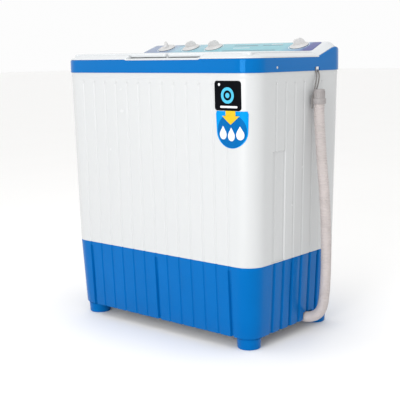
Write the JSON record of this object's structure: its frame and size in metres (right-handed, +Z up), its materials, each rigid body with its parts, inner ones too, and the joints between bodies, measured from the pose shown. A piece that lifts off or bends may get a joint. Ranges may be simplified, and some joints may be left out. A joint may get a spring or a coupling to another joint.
{
  "type": "twin tub washer",
  "caption": "Free-standing twin tub washer: fluted white cabinet on a blue base, two hinged lids, sloping knob panel at the rear and a corrugated drain hose.",
  "frame": {"origin": "on the floor under the centre of the body, not counting the free drain hose", "axes": "+X to the right seen from the front, -Y to the front, +Z up"},
  "size_m": [0.864, 0.5, 0.9315],
  "materials": {
    "band_plastic": "glossy saturated blue moulding",
    "shell_plastic": "glossy white moulding",
    "tub_plastic": "smooth white moulding",
    "panel_film": "printed teal film, satin",
    "knob_plastic": "satin light grey moulding",
    "hose_plastic": "beige grey corrugated hose",
    "steel": "zinc-plated steel",
    "motor_case": "dark painted steel",
    "rubber": "black rubber",
    "dark_plastic": "dark moulded plastic",
    "bronze": "sintered bronze",
    "pulsator_plastic": "glossy light blue moulding",
    "clear_blue": "smooth pale blue moulding",
    "cover_plastic": "satin white moulding"
  },
  "bodies": {
    "root": {"cabinet": "shell_plastic", "base": "band_plastic", "base_plate": "steel", "feet": "band_plastic", "top_frame": "band_plastic", "deck": "shell_plastic", "control_panel": "shell_plastic", "panel_overlay": "panel_film", "wash_timer": "cover_plastic", "wash_selector_switch": "dark_plastic", "drain_selector_body": "dark_plastic", "spin_timer": "cover_plastic", "rear_cover": "cover_plastic", "rear_cover_screws": "steel", "band_screws": "steel", "power_gland": "dark_plastic", "wash_tub": "tub_plastic", "shaft_housing": "dark_plastic", "shaft_bushes": "bronze", "drive_belt": "rubber", "wash_motor": "motor_case", "wash_motor_bracket": "steel", "water_inlet": "dark_plastic", "drain_valve_body": "cover_plastic", "tub_pipes": "hose_plastic", "drain_pipe": "hose_plastic", "spin_outer_tub": "tub_plastic", "spin_shaft_seal": "rubber", "brake_bracket": "steel", "spin_motor": "motor_case", "spin_motor_plate": "steel", "spin_motor_mounts": "rubber", "capacitor": "cover_plastic", "drain_hose": "hose_plastic", "hose_cuff": "hose_plastic", "hose_hanger": "dark_plastic"},
    "wash_lid": {"wash_lid": "shell_plastic", "wash_lid_pins": "steel"},
    "spin_lid": {"spin_lid": "shell_plastic", "spin_lid_pins": "steel"},
    "wash_timer_knob": {"wash_timer_knob": "knob_plastic"},
    "wash_selector_knob": {"wash_selector_knob": "knob_plastic"},
    "drain_selector_knob": {"drain_selector_knob": "knob_plastic", "drain_crank": "steel"},
    "spin_timer_knob": {"spin_timer_knob": "knob_plastic"},
    "pulsator_unit": {"pulsator": "pulsator_plastic", "pulsator_shaft": "steel", "pulsator_pulley": "dark_plastic"},
    "wash_motor_rotor": {"wash_motor_rotor": "steel", "motor_pulley": "steel"},
    "lint_filter": {"lint_filter": "clear_blue"},
    "drain_plug": {"drain_valve_plug": "rubber", "drain_pull_rod": "steel"},
    "spin_unit": {"spin_basket": "clear_blue", "balance_ring": "clear_blue", "spin_shaft": "steel", "brake_drum": "motor_case", "spin_motor_rotor": "steel"},
    "spin_inner_cover": {"spin_inner_cover": "clear_blue"},
    "brake_lever": {"brake_lever": "steel"}
  },
  "joints": [
    {"name": "wash_lid_hinge", "type": "hinge", "parent": "root", "child": "wash_lid", "pos_m": [-0.16, 0.084, 0.884], "axis": [-1, 0, 0], "range_deg": [0, 100]},
    {"name": "spin_lid_hinge", "type": "hinge", "parent": "root", "child": "spin_lid", "pos_m": [0.21, 0.084, 0.884], "axis": [-1, 0, 0], "range_deg": [0, 100]},
    {"name": "wash_timer_knob_turn", "type": "hinge", "parent": "root", "child": "wash_timer_knob", "pos_m": [-0.283, 0.14527, 0.90646], "axis": [0, -0.3469, 0.9379], "range_deg": [-300, 0]},
    {"name": "wash_selector_knob_turn", "type": "hinge", "parent": "root", "child": "wash_selector_knob", "pos_m": [-0.168, 0.14527, 0.90646], "axis": [0, -0.3469, 0.9379], "range_deg": [-90, 0]},
    {"name": "drain_selector_knob_turn", "type": "hinge", "parent": "root", "child": "drain_selector_knob", "pos_m": [-0.063, 0.14527, 0.90646], "axis": [0, -0.3469, 0.9379], "range_deg": [-90, 0]},
    {"name": "spin_timer_knob_turn", "type": "hinge", "parent": "root", "child": "spin_timer_knob", "pos_m": [0.29, 0.14527, 0.90646], "axis": [0, -0.3469, 0.9379], "range_deg": [-300, 0]},
    {"name": "pulsator_spin", "type": "hinge", "parent": "root", "child": "pulsator_unit", "pos_m": [-0.175, -0.068, 0.36], "axis": [0, 0, 1], "continuous": true},
    {"name": "wash_motor_spin", "type": "hinge", "parent": "root", "child": "wash_motor_rotor", "pos_m": [0, -0.068, 0.2], "axis": [0, 0, 1], "continuous": true},
    {"name": "basket_spin", "type": "hinge", "parent": "root", "child": "spin_unit", "pos_m": [0.215, -0.068, 0.4], "axis": [0, 0, 1], "continuous": true},
    {"name": "inner_cover_lift", "type": "slide", "parent": "spin_unit", "child": "spin_inner_cover", "axis": [0, 0, 1], "range_m": [0, 0.09]},
    {"name": "lint_filter_lift", "type": "slide", "parent": "root", "child": "lint_filter", "axis": [0, 0, 1], "range_m": [0, 0.09]},
    {"name": "drain_plug_lift", "type": "slide", "parent": "root", "child": "drain_plug", "axis": [0, 0, 1], "range_m": [0, 0.012]},
    {"name": "brake_lever_turn", "type": "hinge", "parent": "root", "child": "brake_lever", "pos_m": [0.299, -0.018, 0.27], "axis": [0, 0, -1], "range_deg": [0, 3]}
  ],
  "couplings": [
    {"joint": "wash_motor_spin", "follows": "pulsator_spin", "ratio": 3.6},
    {"joint": "drain_plug_lift", "follows": "drain_selector_knob_turn", "m_per_rad": -0.0076},
    {"joint": "brake_lever_turn", "follows": "spin_lid_hinge", "ratio": 0.03}
  ]
}
